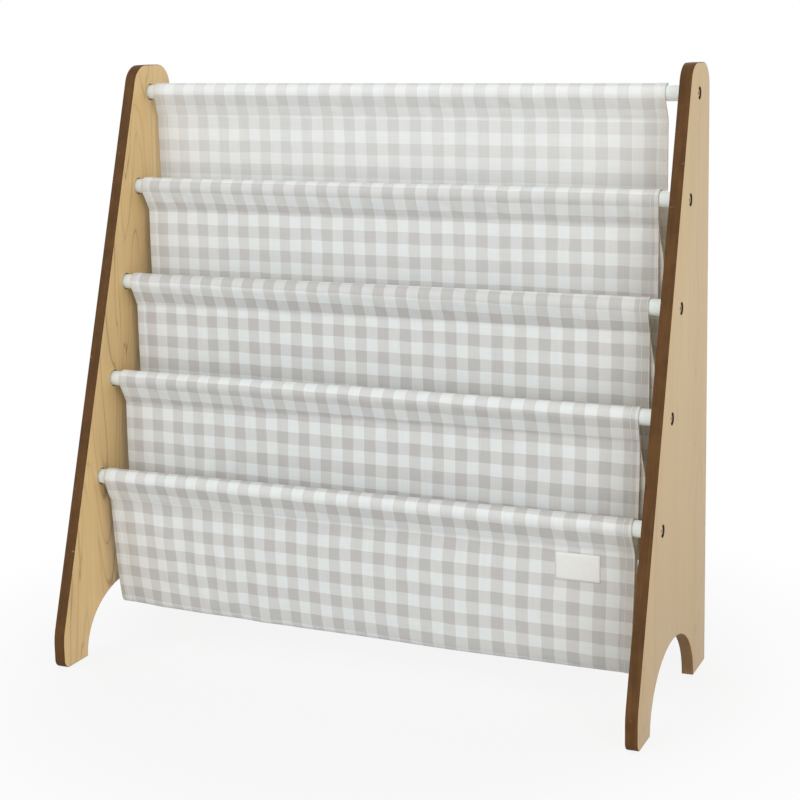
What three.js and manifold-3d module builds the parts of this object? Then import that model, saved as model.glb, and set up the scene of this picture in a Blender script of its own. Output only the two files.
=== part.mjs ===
// Sling bookshelf for a child's room: two side panels, five rods and a hanging cloth sling
// with four book pockets. Millimetres, +Z up, front faces -Y, origin on the floor at the
// middle of the footprint.

import * as THREE from "three";
import { mergeVertices } from "three/addons/utils/BufferGeometryUtils.js";
import Module from "manifold-3d";

const wasm = await Module();
wasm.setup();

// Overall size
const width = 620;
const depth = 250;
const height = 610;

// Gap kept between pieces that seat on or pass through each other
const fitGap = 0.3;
// How far a cutting shape runs past the face that it cuts
const cutOverrun = 1;

// Side panel: board, outline and arch between its two feet
const boardThickness = 12;
const edgeEase = 0.8;
const topDepth = 66;
const toeHeight = 33;
const toeRadius = 9;
const toeBlendRadius = 60;
const topFrontRadius = 24;
const topBackRadius = 24;
const frontFootDepth = 42;
const backFootDepth = 47;
const archHeight = 65;

// Rods, from the top one down
const rodCount = 5;
const rodDiameter = 16;
const rodWall = 1.2;
const rodPitch = 99.3;
const rodSetback = 35;
const topRodDrop = 29;
const rodSocketDepth = 3;

// Threaded insert in each rod end, and the bolt that draws the panel onto it
const insertLength = 18;
const insertChamfer = 0.8;
const boltDiameter = 6;
const boltLength = 16;
const boltTipChamfer = 0.9;
const boltHeadDiameter = 10.4;
const boltHeadHeight = 3.6;
const boltHeadDome = 1.1;
const hexAcrossFlats = 4;
const hexSides = 6;
const hexDepth = 2;
const counterboreDiameter = 12;
const counterboreDepth = 5.5;

// Cloth sling
const clothThickness = 1.2;
const clothSideGap = 14;
// How far the cloth has slid to the left on its rods
const clothSlide = 4.5;
const seamDrop = 25;
const seamBack = 4;
const seamHeight = 1.5;
const layerGap = 0.8;
const pocketDrop = 143;
const foldRadius = 5.5;
const hangEase = 50;
const fullLean = 1.5;
const sideDrawIn = 5.5;
const swellDepth = 1.5;
const swellLength = 190;
// How far back the cloth below each rod hangs, from the top rod down
const leanShares = [0, 0.17, 0.55, 1, 1];
// Where along its length the swell of the cloth below each rod begins
const swellStartShares = [0.1, 0.45, 0.8, 0.2, 0.6];

// Sewn label on the front of the lowest pocket
const labelWidth = 45;
const labelHeight = 27.5;
const labelThickness = 0.6;
const labelGap = 0.5;
const labelSideInset = 31;
const labelDrop = 6;

// Fineness of the round and curved surfaces
const roundSegments = 24;
const smallRoundSegments = 16;
const cornerSegments = 7;
const archSegments = 30;
const clothColumns = 16;
const wallRows = 13;
const foldRows = 6;
const frontRows = 8;
const labelRows = 2;
const labelColumns = 2;

// Places worked out from the sizes above
const innerFace = width / 2 - boardThickness;
const rodReach = innerFace + rodSocketDepth - fitGap;
const rodRadius = rodDiameter / 2;
const rodBoreRadius = rodRadius - rodWall;
const insertRadius = rodBoreRadius - fitGap;
const tappedRadius = boltDiameter / 2 + fitGap;
const boltSeat = width / 2 - counterboreDepth;
const frontSlope = (depth - topDepth) / (height - toeHeight);
const archWidth = depth - frontFootDepth - backFootDepth;
const clothWidth = 2 * (innerFace - clothSideGap);
const layerOffset = (clothThickness + layerGap) / 2;

const laminatedBoard = new THREE.MeshStandardMaterial({ color: 0xc9ae82, roughness: 0.5 });
const whiteLacquer = new THREE.MeshStandardMaterial({ color: 0xe6ebe8, roughness: 0.25 });
const zincSteel = new THREE.MeshStandardMaterial({ color: 0x8f8a80, roughness: 0.35, metalness: 1 });
const wovenCotton = new THREE.MeshStandardMaterial({ color: 0xd5d0cb, roughness: 0.9 });
const wovenRibbon = new THREE.MeshStandardMaterial({ color: 0xeae4d4, roughness: 0.8 });

const shelf = new THREE.Group();

function addPiece(name, geometry, material) {
  const piece = new THREE.Mesh(geometry, material.clone());
  piece.name = name;
  shelf.add(piece);
  return piece;
}

function toSolid(geometry) {
  const bare = geometry.clone();
  bare.deleteAttribute("normal");
  bare.deleteAttribute("uv");
  const merged = mergeVertices(bare);
  return new wasm.Manifold(new wasm.Mesh({
    numProp: 3,
    vertProperties: Float32Array.from(merged.attributes.position.array),
    triVerts: Uint32Array.from(merged.index.array),
  }));
}

function toGeometry(solid) {
  const mesh = solid.getMesh();
  const geometry = new THREE.BufferGeometry();
  geometry.setAttribute("position", new THREE.BufferAttribute(mesh.vertProperties, 3));
  geometry.setIndex(new THREE.BufferAttribute(mesh.triVerts, 1));
  return geometry;
}

// Turns a profile drawn with x as depth and y as height, extruded along z, so that it
// lies along the width of the shelf.
function layAlongWidth(geometry) {
  const depthAxis = new THREE.Vector3(0, 1, 0);
  const heightAxis = new THREE.Vector3(0, 0, 1);
  const widthAxis = new THREE.Vector3(1, 0, 0);
  return geometry.applyMatrix4(new THREE.Matrix4().makeBasis(depthAxis, heightAxis, widthAxis));
}

// A turned piece whose profile is given as (radius, distance along the width).
function turnedAlongWidth(profile, segments) {
  const points = profile.map(([radius, along]) => new THREE.Vector2(radius, along));
  return new THREE.LatheGeometry(points, segments).rotateZ(-Math.PI / 2);
}

// The turn about the vertical that takes a piece made for the right side to a side.
function turnTo(side) {
  return side > 0 ? 0 : Math.PI;
}

function easeInOut(value) {
  return THREE.MathUtils.smoothstep(value, 0, 1);
}

function frontEdgeAt(z) {
  return -depth / 2 + frontSlope * Math.max(z - toeHeight, 0);
}

function rodCentre(index) {
  const z = height - topRodDrop - index * rodPitch;
  return new THREE.Vector2(frontEdgeAt(z) + rodSetback, z);
}

// The points of one rounded corner of an outline that runs anticlockwise.
function roundedCorner(before, corner, after, radius) {
  const back = before.clone().sub(corner).normalize();
  const onward = after.clone().sub(corner).normalize();
  const halfAngle = Math.acos(back.dot(onward)) / 2;
  const reach = radius / Math.tan(halfAngle);
  const start = corner.clone().addScaledVector(back, reach);
  const end = corner.clone().addScaledVector(onward, reach);
  const middle = back.clone().add(onward).normalize();
  const centre = corner.clone().addScaledVector(middle, radius / Math.sin(halfAngle));
  const startAngle = start.sub(centre).angle();
  const endAngle = end.sub(centre).angle();
  const arc = new THREE.EllipseCurve(
    centre.x, centre.y, radius, radius, startAngle, endAngle, false);
  return arc.getPoints(cornerSegments);
}

function panelOutline() {
  const back = depth / 2;
  const front = -depth / 2;
  const archBack = back - backFootDepth;
  const archMiddle = archBack - archWidth / 2;
  const footBack = new THREE.Vector2(back, 0);
  const topBack = new THREE.Vector2(back, height);
  const topFront = new THREE.Vector2(back - topDepth, height);
  const toeTop = new THREE.Vector2(front, toeHeight);
  const toeBottom = new THREE.Vector2(front, 0);
  const archFront = new THREE.Vector2(archBack - archWidth, 0);
  const arch = new THREE.EllipseCurve(
    archMiddle, 0, archWidth / 2, archHeight, Math.PI, 0, true);
  return new THREE.Shape([
    footBack,
    ...roundedCorner(footBack, topBack, topFront, topBackRadius),
    ...roundedCorner(topBack, topFront, toeTop, topFrontRadius),
    ...roundedCorner(topFront, toeTop, toeBottom, toeBlendRadius),
    ...roundedCorner(toeTop, toeBottom, archFront, toeRadius),
    ...arch.getPoints(archSegments),
  ]);
}

// What is drilled out of the right panel at one rod: the blind socket of the rod in the
// inner face, the counterbore of the bolt head in the outer face, and the hole between.
function rodDrilling() {
  const radiusOfHole = boltDiameter / 2 + fitGap;
  return turnedAlongWidth([
    [0, innerFace - cutOverrun],
    [rodRadius + fitGap, innerFace - cutOverrun],
    [rodRadius + fitGap, innerFace + rodSocketDepth],
    [radiusOfHole, innerFace + rodSocketDepth],
    [radiusOfHole, boltSeat],
    [counterboreDiameter / 2, boltSeat],
    [counterboreDiameter / 2, width / 2 + cutOverrun],
    [0, width / 2 + cutOverrun],
  ], roundSegments);
}

// A side panel, side being 1 for the right one and -1 for the left one.
function sidePanel(side) {
  const board = new THREE.ExtrudeGeometry(panelOutline(), {
    depth: boardThickness - 2 * edgeEase,
    bevelEnabled: true,
    bevelThickness: edgeEase,
    bevelSize: edgeEase,
    bevelOffset: -edgeEase,
    bevelSegments: 2,
  });
  const boardStart = side > 0 ? innerFace : -width / 2;
  layAlongWidth(board).translate(boardStart + edgeEase, 0, 0);
  let solid = toSolid(board);
  for (let index = 0; index < rodCount; index += 1) {
    const centre = rodCentre(index);
    const drilling = rodDrilling().rotateZ(turnTo(side)).translate(0, centre.x, centre.y);
    solid = solid.subtract(toSolid(drilling));
  }
  return toGeometry(solid);
}

function rodTube() {
  return turnedAlongWidth([
    [rodBoreRadius, -rodReach],
    [rodRadius, -rodReach],
    [rodRadius, rodReach],
    [rodBoreRadius, rodReach],
    [rodBoreRadius, -rodReach],
  ], roundSegments);
}

function rodInsert() {
  const inner = rodReach - insertLength;
  return turnedAlongWidth([
    [tappedRadius, inner],
    [insertRadius - insertChamfer, inner],
    [insertRadius, inner + insertChamfer],
    [insertRadius, rodReach],
    [tappedRadius, rodReach],
    [tappedRadius, inner],
  ], smallRoundSegments);
}

function bolt() {
  const shankRadius = boltDiameter / 2;
  const headRadius = boltHeadDiameter / 2;
  const seat = boltSeat + fitGap;
  const tip = seat - boltLength;
  const top = seat + boltHeadHeight;
  const body = toSolid(turnedAlongWidth([
    [0, tip],
    [shankRadius - boltTipChamfer, tip],
    [shankRadius, tip + boltTipChamfer],
    [shankRadius, seat],
    [headRadius, seat],
    [headRadius, top - boltHeadDome],
    [headRadius - boltHeadDome, top],
    [0, top],
  ], smallRoundSegments));
  const keyRadius = hexAcrossFlats / 2 / Math.cos(Math.PI / hexSides);
  const keyLength = hexDepth + cutOverrun;
  const key = new THREE.CylinderGeometry(keyRadius, keyRadius, keyLength, hexSides);
  key.rotateZ(-Math.PI / 2).translate(top - hexDepth + keyLength / 2, 0, 0);
  return toGeometry(body.subtract(toSolid(key)));
}

// A loop round the rod whose sides come together at the seam below it. The arc is that
// of the loop; side is -1 for the front and 1 for the back.
function tangentAngle(radius, point, side) {
  const distance = Math.hypot(point.x, point.y);
  return Math.atan2(point.y, point.x) + side * Math.acos(radius / distance);
}

function teardrop(radius, frontPoint, backPoint) {
  const start = tangentAngle(radius, backPoint, 1);
  const end = tangentAngle(radius, frontPoint, -1);
  const arc = new THREE.EllipseCurve(0, 0, radius, radius, start, end, false);
  return [frontPoint, backPoint, ...arc.getPoints(roundSegments)];
}

function rodSleeve() {
  const innerRadius = rodRadius + fitGap;
  const outerRadius = innerRadius + clothThickness;
  const halfSeam = clothThickness + layerGap / 2;
  const outline = new THREE.Shape(teardrop(
    outerRadius,
    new THREE.Vector2(seamBack - halfSeam, -seamDrop),
    new THREE.Vector2(seamBack + halfSeam, -seamDrop)));
  const innerTip = -seamDrop + seamHeight;
  outline.holes.push(new THREE.Path(teardrop(
    innerRadius,
    new THREE.Vector2(seamBack - layerGap / 2, innerTip),
    new THREE.Vector2(seamBack + layerGap / 2, innerTip))));
  const sleeve = new THREE.ExtrudeGeometry(outline, { depth: clothWidth, bevelEnabled: false });
  return layAlongWidth(sleeve).translate(-clothWidth / 2 - clothSlide, 0, 0);
}

// Where the cloth that hangs from one rod starts, just below its seam. The layer is -1
// for the front one, which is the back wall of the pocket in front of the rod, and 1 for
// the back one, which is the front wall of the pocket behind it.
function hangingStart(index, layer) {
  const centre = rodCentre(index);
  return new THREE.Vector2(
    centre.x + seamBack + layer * layerOffset,
    centre.y - seamDrop - fitGap);
}

function leanBelow(index, drop) {
  return fullLean * leanShares[index] * easeInOut(drop / hangEase);
}

function swellBelow(index, drop, x) {
  const phase = (x / swellLength + swellStartShares[index]) * 2 * Math.PI;
  return swellDepth * easeInOut(drop / hangEase) * Math.cos(phase);
}

// One point of a pocket's middle surface for each row: its place in depth and height, how
// it swells along the width, and how far down the cloth it lies, from 0 to 1.
function pocketRows(index) {
  const backStart = hangingStart(index, -1);
  const frontStart = hangingStart(index + 1, 1);
  const frontWall = frontStart.x + fullLean * leanShares[index + 1];
  const foldTop = rodCentre(index + 1).y - pocketDrop + foldRadius;
  const backDrop = backStart.y - foldTop;
  const frontDrop = frontStart.y - foldTop;
  const freeDrop = pocketDrop - seamDrop;
  const foldBack = frontWall + 2 * foldRadius;
  const swing = backStart.x + fullLean * leanShares[index] - foldBack;
  const rows = [];
  for (let row = 0; row < wallRows; row += 1) {
    const drop = backDrop * row / wallRows;
    const share = easeInOut((drop - freeDrop) / (backDrop - freeDrop));
    rows.push({
      y: backStart.x + leanBelow(index, drop) - swing * share,
      z: backStart.y - drop,
      swell: (x) => THREE.MathUtils.lerp(
        swellBelow(index, drop, x), swellBelow(index + 1, drop, x), share),
      fall: drop / backDrop,
    });
  }
  for (let row = 0; row <= foldRows; row += 1) {
    const turn = Math.PI * row / foldRows;
    rows.push({
      y: frontWall + foldRadius + foldRadius * Math.cos(turn),
      z: foldTop - foldRadius * Math.sin(turn),
      swell: (x) => swellBelow(index + 1, frontDrop, x),
      fall: 1,
    });
  }
  for (let row = frontRows - 1; row >= 0; row -= 1) {
    const drop = frontDrop * row / frontRows;
    rows.push({
      y: frontStart.x + leanBelow(index + 1, drop),
      z: frontStart.y - drop,
      swell: (x) => swellBelow(index + 1, drop, x),
      fall: drop / frontDrop,
    });
  }
  return rows;
}

// A cloth wall of even thickness through rows of middle points, as one closed body. Its
// cross-section at each column is a ring down one side and back up the other.
function clothBody(rows, columns, xAt, thickness) {
  const ring = rows.map((row, index) => {
    const before = rows[Math.max(index - 1, 0)];
    const after = rows[Math.min(index + 1, rows.length - 1)];
    const along = new THREE.Vector2(after.y - before.y, after.z - before.z).normalize();
    return { row, across: new THREE.Vector2(along.y, -along.x).multiplyScalar(thickness / 2) };
  });
  const positions = [];
  for (let column = 0; column <= columns; column += 1) {
    const outside = [];
    const inside = [];
    for (const { row, across } of ring) {
      const x = xAt(row, column / columns);
      const y = row.y + row.swell(x);
      outside.push([x, y + across.x, row.z + across.y]);
      inside.unshift([x, y - across.x, row.z - across.y]);
    }
    positions.push(...outside.flat(), ...inside.flat());
  }
  const count = 2 * rows.length;
  const triangles = [];
  for (let column = 0; column < columns; column += 1) {
    for (let point = 0; point < count; point += 1) {
      const here = column * count + point;
      const next = column * count + (point + 1) % count;
      triangles.push(here, next, here + count, next, next + count, here + count);
    }
  }
  const last = columns * count;
  for (let row = 0; row < rows.length - 1; row += 1) {
    const mirrored = count - 1 - row;
    triangles.push(row, mirrored, row + 1, row + 1, mirrored, mirrored - 1);
    triangles.push(last + row, last + row + 1, last + mirrored);
    triangles.push(last + row + 1, last + mirrored - 1, last + mirrored);
  }
  const geometry = new THREE.BufferGeometry();
  geometry.setAttribute("position", new THREE.Float32BufferAttribute(positions, 3));
  geometry.setIndex(triangles);
  return geometry;
}

function pocket(index) {
  const xAt = (row, share) => {
    const halfWidth = clothWidth / 2 - sideDrawIn * easeInOut(row.fall);
    return THREE.MathUtils.lerp(-halfWidth - clothSlide, halfWidth - clothSlide, share);
  };
  return clothBody(pocketRows(index), clothColumns, xAt, clothThickness);
}

function label() {
  const last = rodCount - 1;
  const start = hangingStart(last, 1);
  const stand = (clothThickness + labelThickness) / 2 + labelGap;
  const rows = [];
  for (let row = 0; row <= labelRows; row += 1) {
    const drop = labelDrop + labelHeight * row / labelRows;
    rows.push({
      y: start.x + leanBelow(last, drop) - stand,
      z: start.y - drop,
      swell: (x) => swellBelow(last, drop, x),
    });
  }
  const right = clothWidth / 2 - clothSlide - labelSideInset;
  const xAt = (row, share) => THREE.MathUtils.lerp(right - labelWidth, right, share);
  return clothBody(rows, labelColumns, xAt, labelThickness);
}

const sides = { left: -1, right: 1 };

for (const [sideName, side] of Object.entries(sides)) {
  addPiece(`${sideName}_side_panel`, sidePanel(side), laminatedBoard);
}

// Rods with their cloth sleeves, and the insert and bolt at each end
for (let index = 0; index < rodCount; index += 1) {
  const centre = rodCentre(index);
  const number = index + 1;
  const pieces = [
    addPiece(`rod_${number}`, rodTube(), whiteLacquer),
    addPiece(`sleeve_${number}`, rodSleeve(), wovenCotton),
  ];
  for (const [sideName, side] of Object.entries(sides)) {
    const insert = rodInsert().rotateZ(turnTo(side));
    pieces.push(addPiece(`${sideName}_insert_${number}`, insert, zincSteel));
    pieces.push(addPiece(`${sideName}_bolt_${number}`, bolt().rotateZ(turnTo(side)), zincSteel));
  }
  for (const piece of pieces) {
    piece.position.set(0, centre.x, centre.y);
  }
}

// Pockets, each from the seam below one rod to the seam below the next
for (let index = 0; index < rodCount - 1; index += 1) {
  addPiece(`pocket_${index + 1}`, pocket(index), wovenCotton);
}

addPiece("sewn_label", label(), wovenRibbon);

export default shelf;
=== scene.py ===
"""Looks of the sling bookshelf: two maple-faced side panels, five white rods and a
gingham cotton sling that hangs in four book pockets. Metres, +Z up, front towards -Y."""

import math

import bmesh
import bpy
import numpy as np
from bpy.props import FloatProperty, FloatVectorProperty, PointerProperty
from mathutils import Matrix, Vector


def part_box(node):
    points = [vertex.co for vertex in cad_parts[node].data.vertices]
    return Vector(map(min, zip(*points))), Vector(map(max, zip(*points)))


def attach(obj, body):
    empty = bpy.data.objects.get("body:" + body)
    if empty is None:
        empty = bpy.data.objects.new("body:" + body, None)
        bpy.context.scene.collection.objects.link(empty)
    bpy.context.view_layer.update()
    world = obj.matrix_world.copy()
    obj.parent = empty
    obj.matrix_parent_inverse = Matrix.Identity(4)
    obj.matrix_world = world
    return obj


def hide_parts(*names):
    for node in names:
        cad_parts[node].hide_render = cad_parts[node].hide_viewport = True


bl_info = {
    "name": "Sling Bookshelf",
    "version": (1, 0, 0),
    "blender": (4, 5, 0),
    "location": "3D View > Sidebar > Bookshelf",
    "description": "Dresses the sling bookshelf with wood, white rods and gingham cloth",
    "category": "Object",
}

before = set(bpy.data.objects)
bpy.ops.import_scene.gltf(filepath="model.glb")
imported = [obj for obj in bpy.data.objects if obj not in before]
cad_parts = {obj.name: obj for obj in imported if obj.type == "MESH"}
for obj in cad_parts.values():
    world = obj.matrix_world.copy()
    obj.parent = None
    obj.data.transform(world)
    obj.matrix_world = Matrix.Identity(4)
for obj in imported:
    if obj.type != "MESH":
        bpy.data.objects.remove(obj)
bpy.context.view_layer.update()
MM = 0.001
TIERS = (1, 2, 3, 4, 5)         # the rods, from the top one down
STRIPS = TIERS[:-1]             # the strips of cloth, each from its rod down to the next
SIDES = {"left": -1, "right": 1}


# Colour, nodes, meshes

def linear(code):
    """The linear RGB of an sRGB hex colour."""
    parts = [int(code[i:i + 2], 16) / 255 for i in (1, 3, 5)]
    return tuple(c / 12.92 if c <= 0.04045 else ((c + 0.055) / 1.055) ** 2.4
                 for c in parts)


def rgba(colour, by=1.0):
    """A linear colour for a socket, made darker or lighter by a factor."""
    return (*(min(c * by, 1.0) for c in colour), 1.0)


def add_node(tree, kind, inputs=(), **settings):
    """Adds a node with its settings. Each input is a value, the socket that feeds it, or
    a node, whose first output in use feeds it."""
    node = tree.nodes.new(f"ShaderNode{kind}")
    for name, value in settings.items():
        setattr(node, name, value)
    for name, value in dict(inputs).items():
        if isinstance(value, bpy.types.Node):
            value = next(output for output in value.outputs if output.enabled)
        if isinstance(value, bpy.types.NodeSocket):
            tree.links.new(value, node.inputs[name])
        else:
            node.inputs[name].default_value = value
    return node


def new_material(name):
    """A material without nodes, and its node tree."""
    material = bpy.data.materials.new(name)
    material.use_nodes = True
    material.node_tree.nodes.clear()
    return material, material.node_tree


def surface(material, inputs):
    """Gives a material a Principled surface with these inputs, and returns it."""
    shader = add_node(material.node_tree, "BsdfPrincipled", inputs)
    add_node(material.node_tree, "OutputMaterial", {"Surface": shader})
    return material


def new_mesh(name, points, faces, smooth=False):
    mesh = bpy.data.meshes.new(name)
    mesh.from_pydata([tuple(point) for point in points], [], faces)
    mesh.polygons.foreach_set("use_smooth", [smooth] * len(faces))
    return mesh


def closed_mesh(name, points, faces):
    """A mesh with its doubled points merged and its normals turned outward."""
    mesh = new_mesh(name, points, faces)
    work = bmesh.new()
    work.from_mesh(mesh)
    bmesh.ops.remove_doubles(work, verts=work.verts, dist=1e-6)
    bmesh.ops.recalc_face_normals(work, faces=work.faces)
    work.to_mesh(mesh)
    work.free()
    return mesh


def smooth_by_angle(mesh, degrees):
    """Smooth shading that stays crisp at edges sharper than the angle."""
    work = bmesh.new()
    work.from_mesh(mesh)
    for face in work.faces:
        face.smooth = True
    for edge in work.edges:
        edge.smooth = (len(edge.link_faces) == 2
                       and edge.calc_face_angle(0.0) < math.radians(degrees))
    work.to_mesh(mesh)
    work.free()


def link_object(name, data):
    thing = bpy.data.objects.new(name, data)
    bpy.context.scene.collection.objects.link(thing)
    return thing


def link_piece(name, mesh, slot, materials, *nodes):
    """Puts a mesh into the scene as a piece that rides on the frame."""
    for material in materials:
        mesh.materials.append(material)
    piece = link_object(name, mesh)
    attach(piece, "root")
    if nodes:
        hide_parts(*nodes)
    return piece


def ring_faces(rings, count, caps=False):
    """Quads from each ring of points to the next, and a cap on both ends if asked."""
    faces = []
    last = (rings - 1) * count
    for low in range(0, last, count):
        for step in range(count):
            here, after = low + step, low + (step + 1) % count
            faces.append((here, after, after + count, here + count))
    if caps:
        faces += [tuple(reversed(range(count))), tuple(range(last, last + count))]
    return faces


def lathe(profile, segments):
    """A profile of (radius, place along X) turned about X, as points and quads."""
    turns = np.arange(segments) * 2 * math.pi / segments
    points = [(along, radius * math.cos(turn), radius * math.sin(turn))
              for radius, along in profile for turn in turns]
    return np.array(points), ring_faces(len(profile), segments)


def grid_faces(rows, columns, start=0, flip=False):
    """Quads of a grid whose points run along the columns first."""
    faces = []
    for row in range(rows - 1):
        for column in range(columns - 1):
            a = start + row * columns + column
            quad = (a, a + 1, a + columns + 1, a + columns)
            faces.append(quad[::-1] if flip else quad)
    return faces


def surface_normals(points):
    """Which way a grid of points faces, at each of them."""
    normal = np.cross(np.gradient(points, axis=1), np.gradient(points, axis=0))
    return normal / np.maximum(np.linalg.norm(normal, axis=2, keepdims=True), 1e-12)


def sheet_mesh(name, points, half):
    """A closed smooth sheet that stands half its thickness out on both sides of a grid.
    Gives the mesh, its front points, its back points and the grid's normals."""
    rows, columns, _ = points.shape
    size = rows * columns
    normal = surface_normals(points)
    front, back = points + normal * half, points - normal * half
    faces = grid_faces(rows, columns, 0, True) + grid_faces(rows, columns, size)
    at = np.arange(size).reshape(rows, columns)
    rim = np.concatenate([at[0], at[1:, -1], at[-1, -2::-1], at[-2:0:-1, 0]]).tolist()
    for here, after in zip(rim, rim[1:] + rim[:1]):
        faces.append((here, after, after + size, here + size))
    verts = np.concatenate([front.reshape(-1, 3), back.reshape(-1, 3)]).tolist()
    return new_mesh(name, verts, faces, True), front, back, normal


# Curves and places

def ease(value):
    """0 below 0, 1 above 1, and smooth between."""
    value = np.clip(value, 0.0, 1.0)
    return value * value * (3 - 2 * value)


def bell(value, width):
    """1 at 0, fading to both sides."""
    return np.exp(-(value / width) ** 2)


def run_along(points):
    """How far along a line each of its points lies."""
    steps = np.linalg.norm(np.diff(points, axis=0), axis=1)
    return np.concatenate([[0], np.cumsum(steps)])


def read_along(run, values, at):
    """The values at some places along a line."""
    return np.stack([np.interp(at, run, column) for column in values.T], 1)


def spread(points, count):
    """Points at even steps along a line."""
    run = run_along(points)
    return read_along(run, points, np.linspace(0, run[-1], count))


def count_of(reach, step):
    """How many points a reach gets, about a step from each other."""
    return int(round(reach / step)) + 1


def soft_noise(x, s, seed, size):
    """Smooth repeatable unevenness in two directions, from about -1 to 1."""
    total = np.zeros(np.broadcast(x, s).shape)
    rng = np.random.default_rng(seed)
    for _ in range(7):
        angle = rng.uniform(0, 2 * math.pi)
        rate = rng.uniform(0.6, 1.5) / size
        phase = rng.uniform(0, 2 * math.pi)
        way = x * math.cos(angle) + s * math.sin(angle)
        total += np.sin(2 * math.pi * rate * way + phase)
    return total / 4


def rod_centre(tier):
    """The middle of a rod, in depth and height."""
    low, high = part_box(f"rod_{tier}")
    return (low.y + high.y) / 2, (low.z + high.z) / 2


def rod_radius():
    low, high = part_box("rod_1")
    return (high.z - low.z) / 2


# Settings

def length(name, description, default):
    return FloatProperty(name=name, description=description, default=default,
                         unit="LENGTH", precision=4)


def colour(name, description, code):
    return FloatVectorProperty(name=name, description=description, default=linear(code),
                               subtype="COLOR", size=3, min=0.0, max=1.0)


def power(name, description, default):
    return FloatProperty(name=name, description=description, default=default,
                         unit="POWER")


class PanelSettings(bpy.types.PropertyGroup):
    top_depth: length("Top depth", "Depth of the panel at its top", 66 * MM)
    toe_height: length("Toe height", "Height where the front edge starts to slope",
                       33 * MM)
    toe_radius: length("Toe radius", "Rounding of the front foot's tip", 9 * MM)
    toe_blend: length("Toe blend", "Rounding between the toe and the slope", 60 * MM)
    corner_radius: length("Corner radius", "Rounding of both top corners", 24 * MM)
    front_foot: length("Front foot", "Length of the front foot on the floor", 42 * MM)
    back_foot: length("Back foot", "Length of the back foot on the floor", 47 * MM)
    arch_height: length("Arch height", "Height of the arch between the feet", 65 * MM)
    edge_ease: length("Edge ease", "Rounding along every edge of the board", 0.8 * MM)
    # Painted light: both faces are one laminate, coloured apart to make up for how each
    # is lit. The inner face, in the shade of the cloth, is drawn brighter.
    inner_face: colour("Inner face", "Maple laminate towards the cloth", "#E0BF86")
    outer_face: colour("Outer face", "Maple laminate on the outer faces", "#CDB284")
    grain: colour("Grain", "Darker lines of the maple grain", "#6E4519")
    edge_band: colour("Edge band", "Walnut edge band", "#583B1D")
    # The faces round the arch get a paler band colour than the other edges
    arch_band: colour("Arch band", "Walnut edge band, paler on the arch's faces",
                      "#846749")


class RodSettings(bpy.types.PropertyGroup):
    wall: length("Wall", "Wall thickness of the steel tube", 1.2 * MM)
    lacquer: colour("Lacquer", "White lacquer of the rods", "#EEFBFF")
    zinc: colour("Zinc", "Zinc plating of the bolts and inserts", "#D6C6A2")
    head_diameter: length("Bolt head", "Diameter of a bolt head", 10.4 * MM)
    hex_flats: length("Hex socket", "Width across flats of the key socket", 4 * MM)


class ClothSettings(bpy.types.PropertyGroup):
    thickness: length("Thickness", "Thickness of the woven cotton", 0.8 * MM)
    check: length("Check", "Side of one gingham square", 12.35 * MM)
    hem: length("Side hem", "Width of the hem at each side of the sling", 9 * MM)
    stitch: length("Stitch", "Length of one stitch", 2.6 * MM)
    stitch_step: length("Stitch step", "Distance from one stitch to the next", 3 * MM)
    pale: colour("Pale square", "Undyed squares of the gingham", "#DBDFDE")
    middle: colour("Half square", "Squares where one dyed stripe runs", "#CDCDCB")
    deep: colour("Deep square", "Squares where two dyed stripes cross", "#BAB9B6")
    thread: colour("Thread", "Sewing thread", "#ECEDEA")
    ribbon: colour("Label ribbon", "Woven ribbon of the bare label", "#DEDFDB")


class StageSettings(bpy.types.PropertyGroup):
    floor: colour("Floor", "Matt pale floor", "#C6C6C6")
    sky: FloatProperty(name="Sky", default=0.72,
                       description="Strength of the even light from all round")
    key: power("Key lamp", "Power of the large soft lamp", 34.0)
    fill: power("Fill lamp", "Power of the lamp in front", 38.0)
    back: power("Back lamp", "Power of the lamp behind the shelf", 20.0)


# Materials

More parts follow.
